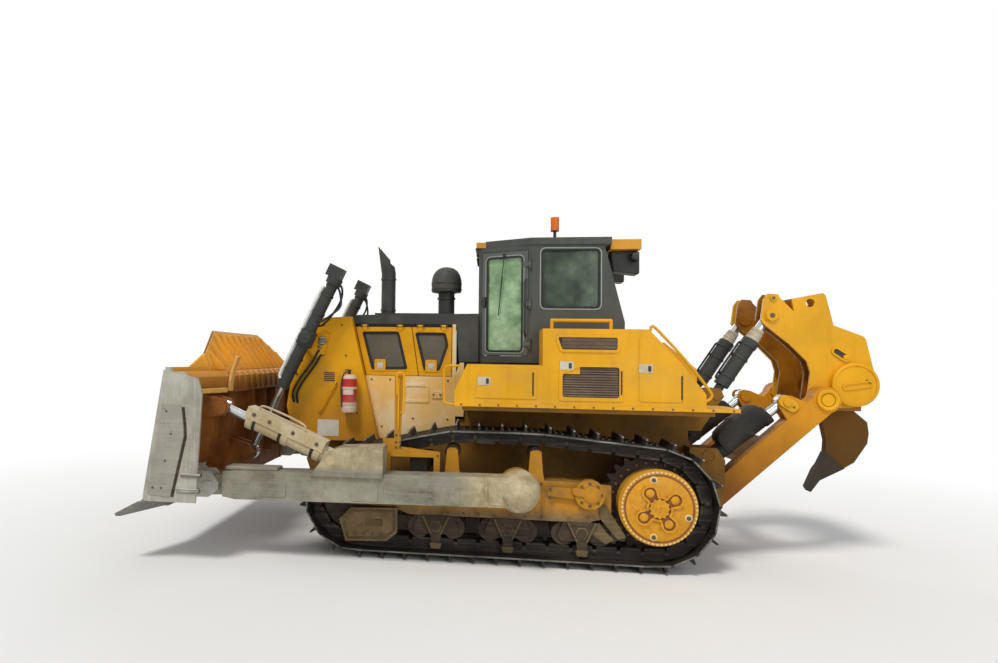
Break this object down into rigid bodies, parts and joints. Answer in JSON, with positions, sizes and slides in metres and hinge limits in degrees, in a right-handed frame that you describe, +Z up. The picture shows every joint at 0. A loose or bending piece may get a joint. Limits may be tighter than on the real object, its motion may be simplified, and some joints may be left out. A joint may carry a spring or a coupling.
{
  "type": "bulldozer",
  "caption": "Heavy track-type tractor with a semi-U dozing blade on push arms, a glazed cab and a rear ripper with a raised shank, for earthmoving.",
  "frame": {"origin": "on the ground under the middle of the overall length and width", "axes": "+X forward to the blade, +Y to the driver's left, +Z up"},
  "size_m": [8.78, 4.32, 4.175],
  "materials": {
    "yellow_paint": "satin",
    "dusty_steel": "satin",
    "dark_paint": "satin",
    "black_paint": "satin",
    "track_iron": "matte",
    "rod_chrome": "polished",
    "window_glass": "polished",
    "amber_lens": "polished",
    "red_paint": "satin",
    "seat_cloth": "matte"
  },
  "bodies": {
    "tractor": {"main_frame": "yellow_paint", "equalizer_bar": "dark_paint", "engine": "dark_paint", "nose": "yellow_paint", "hood_top": "dark_paint", "engine_sides": "yellow_paint", "rear_tank": "yellow_paint", "side_box_left": "yellow_paint", "side_box_right": "yellow_paint", "cab_shell": "dark_paint", "cab_roof": "dark_paint", "roof_visors": "yellow_paint", "cab_glass": "window_glass", "seat": "seat_cloth", "consoles": "dark_paint", "track_frames": "yellow_paint", "track_left": "track_iron", "track_right": "track_iron", "idlers": "track_iron", "sprockets": "yellow_paint", "final_drives": "yellow_paint", "bogies": "track_iron", "carrier_rollers": "track_iron", "exhaust_stack": "dark_paint", "air_precleaner": "dark_paint", "beacon": "amber_lens", "handrails": "yellow_paint", "fire_extinguisher": "red_paint"},
    "push_arms": {"push_arm_left": "dusty_steel", "push_arm_right": "dusty_steel"},
    "blade": {"moldboard": "yellow_paint", "cutting_edge": "dusty_steel"},
    "ripper_frame": {"ripper_links": "yellow_paint"},
    "ripper_tool": {"ripper_carrier": "yellow_paint", "ripper_shank": "dusty_steel", "ripper_point": "dusty_steel"},
    "lift_barrel_left_body": {"lift_barrel_left": "dark_paint"},
    "lift_rod_left_body": {"lift_rod_left": "rod_chrome"},
    "tilt_barrel_left_body": {"tilt_barrel_left": "dusty_steel"},
    "tilt_rod_left_body": {"tilt_rod_left": "rod_chrome"},
    "ripper_lift_barrel_left_body": {"ripper_lift_barrel_left": "black_paint"},
    "ripper_lift_rod_left_body": {"ripper_lift_rod_left": "rod_chrome"},
    "ripper_tilt_barrel_left_body": {"ripper_tilt_barrel_left": "dark_paint"},
    "ripper_tilt_rod_left_body": {"ripper_tilt_rod_left": "rod_chrome"},
    "front_engine_door_left_body": {"front_engine_door_left": "yellow_paint"},
    "rear_engine_door_left_body": {"rear_engine_door_left": "yellow_paint"},
    "cab_door_left_body": {"cab_door_left": "dark_paint", "door_glass_left": "window_glass"},
    "lift_barrel_right_body": {"lift_barrel_right": "dark_paint"},
    "lift_rod_right_body": {"lift_rod_right": "rod_chrome"},
    "tilt_barrel_right_body": {"tilt_barrel_right": "dusty_steel"},
    "tilt_rod_right_body": {"tilt_rod_right": "rod_chrome"},
    "ripper_lift_barrel_right_body": {"ripper_lift_barrel_right": "black_paint"},
    "ripper_lift_rod_right_body": {"ripper_lift_rod_right": "rod_chrome"},
    "ripper_tilt_barrel_right_body": {"ripper_tilt_barrel_right": "dark_paint"},
    "ripper_tilt_rod_right_body": {"ripper_tilt_rod_right": "rod_chrome"},
    "front_engine_door_right_body": {"front_engine_door_right": "yellow_paint"},
    "rear_engine_door_right_body": {"rear_engine_door_right": "yellow_paint"},
    "cab_door_right_body": {"cab_door_right": "dark_paint", "door_glass_right": "window_glass"}
  },
  "joints": [
    {"name": "blade_lift", "type": "hinge", "parent": "tractor", "child": "push_arms", "pos_m": [-0.06903, 0, 0.9], "axis": [0, -1, 0], "range_deg": [-14, 9.5]},
    {"name": "blade_pitch", "type": "hinge", "parent": "push_arms", "child": "blade", "pos_m": [3.44097, 0, 0.83], "axis": [0, -1, 0], "range_deg": [-6, 6]},
    {"name": "ripper_lift", "type": "hinge", "parent": "tractor", "child": "ripper_frame", "pos_m": [-2.30903, 0, 0.7], "axis": [0, -1, 0], "range_deg": [0, 50]},
    {"name": "ripper_tool_turn", "type": "hinge", "parent": "ripper_frame", "child": "ripper_tool", "pos_m": [-3.60903, 0, 1.92], "axis": [0, -1, 0], "range_deg": [-46, 1]},
    {"name": "lift_swing_left", "type": "hinge", "parent": "tractor", "child": "lift_barrel_left_body", "pos_m": [2.53897, 0.95, 2.563], "axis": [0, -1, 0], "range_deg": [-10.72, 7.44]},
    {"name": "lift_stroke_left", "type": "slide", "parent": "lift_barrel_left_body", "child": "lift_rod_left_body", "axis": [0.4324, 0, -0.9017], "range_m": [-0.5139, 0.755]},
    {"name": "tilt_swing_left", "type": "hinge", "parent": "push_arms", "child": "tilt_barrel_left_body", "pos_m": [2.00097, 1.7, 1.18], "axis": [0, -1, 0], "range_deg": [-1.46, 1.46]},
    {"name": "tilt_stroke_left", "type": "slide", "parent": "tilt_barrel_left_body", "child": "tilt_rod_left_body", "axis": [0.922, 0, 0.3871], "range_m": [-0.0967, 0.0967]},
    {"name": "ripper_lift_swing_left", "type": "hinge", "parent": "tractor", "child": "ripper_lift_barrel_left_body", "pos_m": [-2.34903, 0.65, 1.19], "axis": [0, -1, 0], "range_deg": [-0.5, 55.98]},
    {"name": "ripper_lift_stroke_left", "type": "slide", "parent": "ripper_lift_barrel_left_body", "child": "ripper_lift_rod_left_body", "axis": [-0.7652, 0, 0.6438], "range_m": [-0.005, 0.403]},
    {"name": "ripper_tilt_swing_left", "type": "hinge", "parent": "tractor", "child": "ripper_tilt_barrel_left_body", "pos_m": [-2.46903, 0.43, 1.93], "axis": [0, -1, 0], "range_deg": [-0.5, 77.1]},
    {"name": "ripper_tilt_stroke_left", "type": "slide", "parent": "ripper_tilt_barrel_left_body", "child": "ripper_tilt_rod_left_body", "axis": [-0.5377, 0, 0.8431], "range_m": [-0.005, 0.095]},
    {"name": "cab_door_left", "type": "hinge", "parent": "tractor", "child": "cab_door_left_body", "pos_m": [-0.22407, 0.85576, 3], "axis": [0, 0, 1], "range_deg": [0, 90]},
    {"name": "front_engine_door_left", "type": "hinge", "parent": "tractor", "child": "front_engine_door_left_body", "pos_m": [1.62097, 0.62, 2.741], "axis": [1, 0, 0], "range_deg": [0, 80]},
    {"name": "rear_engine_door_left", "type": "hinge", "parent": "tractor", "child": "rear_engine_door_left_body", "pos_m": [0.98097, 0.62, 2.741], "axis": [1, 0, 0], "range_deg": [0, 80]},
    {"name": "lift_swing_right", "type": "hinge", "parent": "tractor", "child": "lift_barrel_right_body", "pos_m": [2.53897, -0.95, 2.563], "axis": [0, -1, 0], "range_deg": [-10.72, 7.44]},
    {"name": "lift_stroke_right", "type": "slide", "parent": "lift_barrel_right_body", "child": "lift_rod_right_body", "axis": [0.4324, 0, -0.9017], "range_m": [-0.5139, 0.755]},
    {"name": "tilt_swing_right", "type": "hinge", "parent": "push_arms", "child": "tilt_barrel_right_body", "pos_m": [2.00097, -1.7, 1.18], "axis": [0, -1, 0], "range_deg": [-1.46, 1.46]},
    {"name": "tilt_stroke_right", "type": "slide", "parent": "tilt_barrel_right_body", "child": "tilt_rod_right_body", "axis": [0.922, 0, 0.3871], "range_m": [-0.0967, 0.0967]},
    {"name": "ripper_lift_swing_right", "type": "hinge", "parent": "tractor", "child": "ripper_lift_barrel_right_body", "pos_m": [-2.34903, -0.65, 1.19], "axis": [0, -1, 0], "range_deg": [-0.5, 55.98]},
    {"name": "ripper_lift_stroke_right", "type": "slide", "parent": "ripper_lift_barrel_right_body", "child": "ripper_lift_rod_right_body", "axis": [-0.7652, 0, 0.6438], "range_m": [-0.005, 0.403]},
    {"name": "ripper_tilt_swing_right", "type": "hinge", "parent": "tractor", "child": "ripper_tilt_barrel_right_body", "pos_m": [-2.46903, -0.43, 1.93], "axis": [0, -1, 0], "range_deg": [-0.5, 77.1]},
    {"name": "ripper_tilt_stroke_right", "type": "slide", "parent": "ripper_tilt_barrel_right_body", "child": "ripper_tilt_rod_right_body", "axis": [-0.5377, 0, 0.8431], "range_m": [-0.005, 0.095]},
    {"name": "cab_door_right", "type": "hinge", "parent": "tractor", "child": "cab_door_right_body", "pos_m": [-0.22407, -0.85576, 3], "axis": [0, 0, -1], "range_deg": [0, 90]},
    {"name": "front_engine_door_right", "type": "hinge", "parent": "tractor", "child": "front_engine_door_right_body", "pos_m": [1.62097, -0.62, 2.741], "axis": [-1, 0, 0], "range_deg": [0, 80]},
    {"name": "rear_engine_door_right", "type": "hinge", "parent": "tractor", "child": "rear_engine_door_right_body", "pos_m": [0.98097, -0.62, 2.741], "axis": [-1, 0, 0], "range_deg": [0, 80]}
  ],
  "couplings": [
    {"joint": "ripper_tool_turn", "follows": "ripper_lift", "ratio": -0.9},
    {"joint": "lift_swing_left", "follows": "blade_lift", "ratio": 0.7303},
    {"joint": "lift_stroke_left", "follows": "blade_lift", "m_per_rad": -3.0694},
    {"joint": "tilt_swing_left", "follows": "blade_pitch", "ratio": 0.1598},
    {"joint": "tilt_stroke_left", "follows": "blade_pitch", "m_per_rad": -0.87525},
    {"joint": "ripper_lift_swing_left", "follows": "ripper_lift", "ratio": 1.1096},
    {"joint": "ripper_lift_stroke_left", "follows": "ripper_lift", "m_per_rad": 0.45607},
    {"joint": "ripper_tilt_swing_left", "follows": "ripper_lift", "ratio": 1.532},
    {"joint": "ripper_tilt_stroke_left", "follows": "ripper_lift", "m_per_rad": 0.10313},
    {"joint": "lift_swing_right", "follows": "blade_lift", "ratio": 0.7303},
    {"joint": "lift_stroke_right", "follows": "blade_lift", "m_per_rad": -3.0694},
    {"joint": "tilt_swing_right", "follows": "blade_pitch", "ratio": 0.1598},
    {"joint": "tilt_stroke_right", "follows": "blade_pitch", "m_per_rad": -0.87525},
    {"joint": "ripper_lift_swing_right", "follows": "ripper_lift", "ratio": 1.1096},
    {"joint": "ripper_lift_stroke_right", "follows": "ripper_lift", "m_per_rad": 0.45607},
    {"joint": "ripper_tilt_swing_right", "follows": "ripper_lift", "ratio": 1.532},
    {"joint": "ripper_tilt_stroke_right", "follows": "ripper_lift", "m_per_rad": 0.10313}
  ]
}
